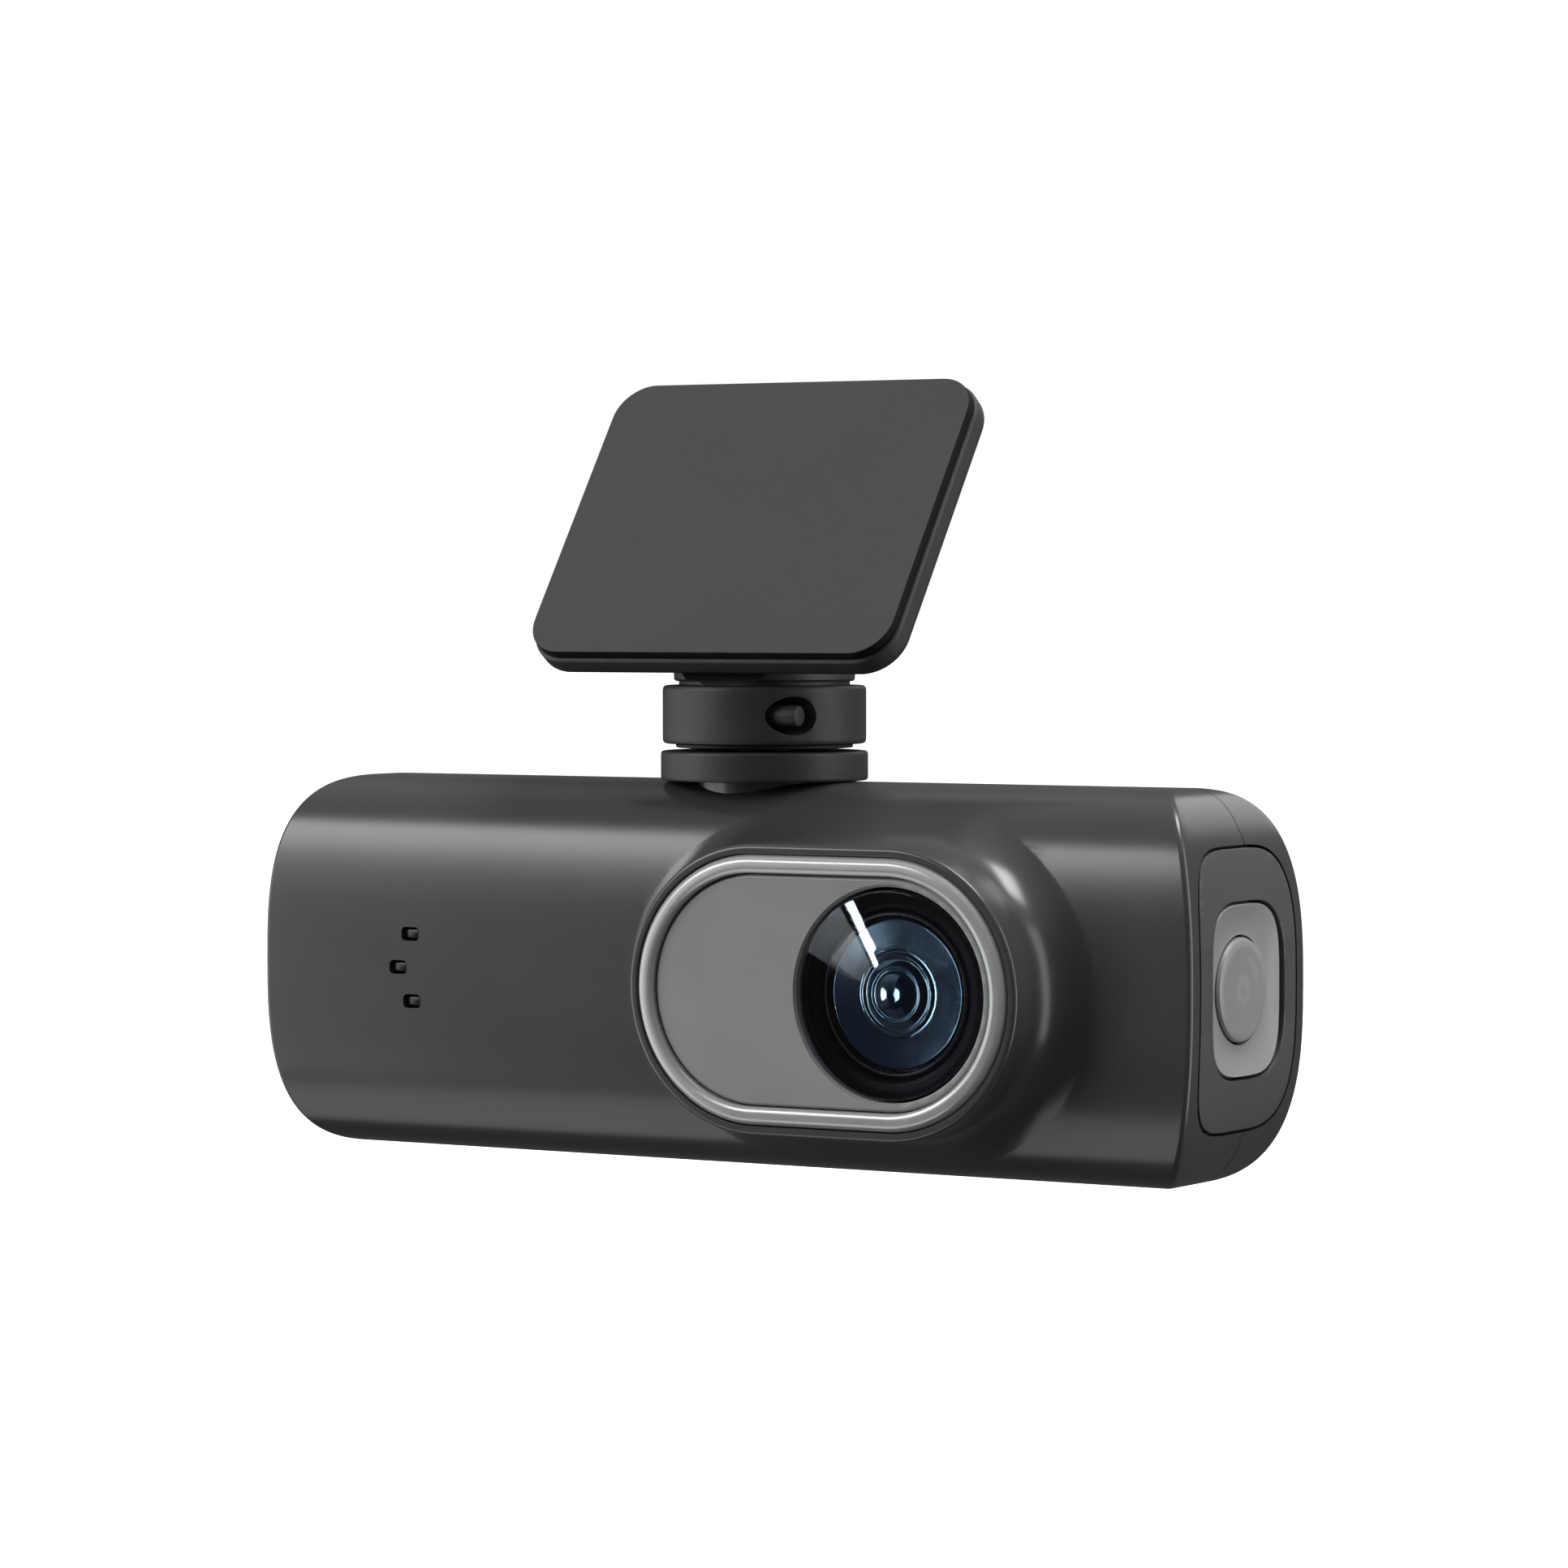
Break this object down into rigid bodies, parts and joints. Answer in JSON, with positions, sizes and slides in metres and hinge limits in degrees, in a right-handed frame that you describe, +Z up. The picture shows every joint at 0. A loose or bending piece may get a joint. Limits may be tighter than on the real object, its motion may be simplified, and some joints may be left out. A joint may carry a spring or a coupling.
{
  "type": "dash camera",
  "caption": "Bar-shaped windscreen camera with an offset round lens, end button, panning collar and tilting adhesive plate.",
  "frame": {"origin": "centre of the adhesive face that sticks to the windscreen", "axes": "+X along the body towards the power button, +Z up, lens looking along -Y"},
  "size_m": [0.1068, 0.0317, 0.0778],
  "materials": {
    "adhesive_foam": "closed-cell adhesive foam, fine grain",
    "charcoal_plastic": "satin moulded plastic",
    "grey_plastic": "satin moulded plastic",
    "light_grey_plastic": "satin moulded plastic",
    "black_plastic": "black moulding",
    "bright_metal": "bright satin metal trim",
    "steel": "plain steel",
    "copper_film": "copper on film",
    "glass": "coated optical glass",
    "circuit_board": "solder-masked board",
    "chip_epoxy": "moulded epoxy",
    "capacitor_sleeve": "shrink sleeve"
  },
  "bodies": {
    "bracket": {"adhesive_pad": "adhesive_foam", "bracket_plate": "charcoal_plastic"},
    "swivel": {"hinge_post": "charcoal_plastic", "hinge_screw": "steel", "hinge_nut": "steel", "swivel_collar": "charcoal_plastic", "lock_screw": "black_plastic", "swivel_washer": "steel", "swivel_screw": "steel"},
    "camera": {"bezel_ring": "bright_metal", "board_connector": "black_plastic", "button_board": "circuit_board", "button_surround": "light_grey_plastic", "button_switch": "steel", "card_socket": "steel", "case_screw_1": "steel", "case_screw_2": "steel", "case_screw_3": "steel", "case_screw_4": "steel", "cover_glass": "glass", "faceplate": "grey_plastic", "front_lens": "glass", "front_shell": "charcoal_plastic", "heat_spreader": "steel", "image_sensor": "chip_epoxy", "indicator_board": "circuit_board", "indicator_lower": "black_plastic", "indicator_middle": "black_plastic", "indicator_upper": "black_plastic", "left_end_cover": "grey_plastic", "lens_baffle": "black_plastic", "lens_barrel": "black_plastic", "lens_holder": "black_plastic", "main_board": "circuit_board", "memory_chip": "chip_epoxy", "microphone": "steel", "power_chip": "chip_epoxy", "processor": "chip_epoxy", "rear_lens": "glass", "rear_shell": "charcoal_plastic", "right_end_cover": "grey_plastic", "sensor_board": "circuit_board", "speaker": "black_plastic", "supercapacitor_lower": "capacitor_sleeve", "supercapacitor_upper": "capacitor_sleeve", "swivel_base": "charcoal_plastic", "usb_inlet": "steel", "wifi_antenna": "copper_film"},
    "button": {"power_button": "light_grey_plastic"},
    "card": {"memory_card": "black_plastic"}
  },
  "joints": [
    {"name": "tilt", "type": "hinge", "parent": "bracket", "child": "swivel", "pos_m": [0, 0.00389, -0.01028], "axis": [1, 0, 0], "range_deg": [-3, 45]},
    {"name": "pan", "type": "hinge", "parent": "swivel", "child": "camera", "pos_m": [0, 0.00289, -0.02258], "axis": [0, 0, 1], "range_deg": [-180, 180]},
    {"name": "power_press", "type": "slide", "parent": "camera", "child": "button", "axis": [-1, 0, 0], "range_m": [0, 0.0006], "stiffness_N_per_m": 1500, "springref_m": -0.0004},
    {"name": "card_slide", "type": "slide", "parent": "camera", "child": "card", "axis": [-1, 0, 0], "range_m": [0, 0.0125]}
  ]
}
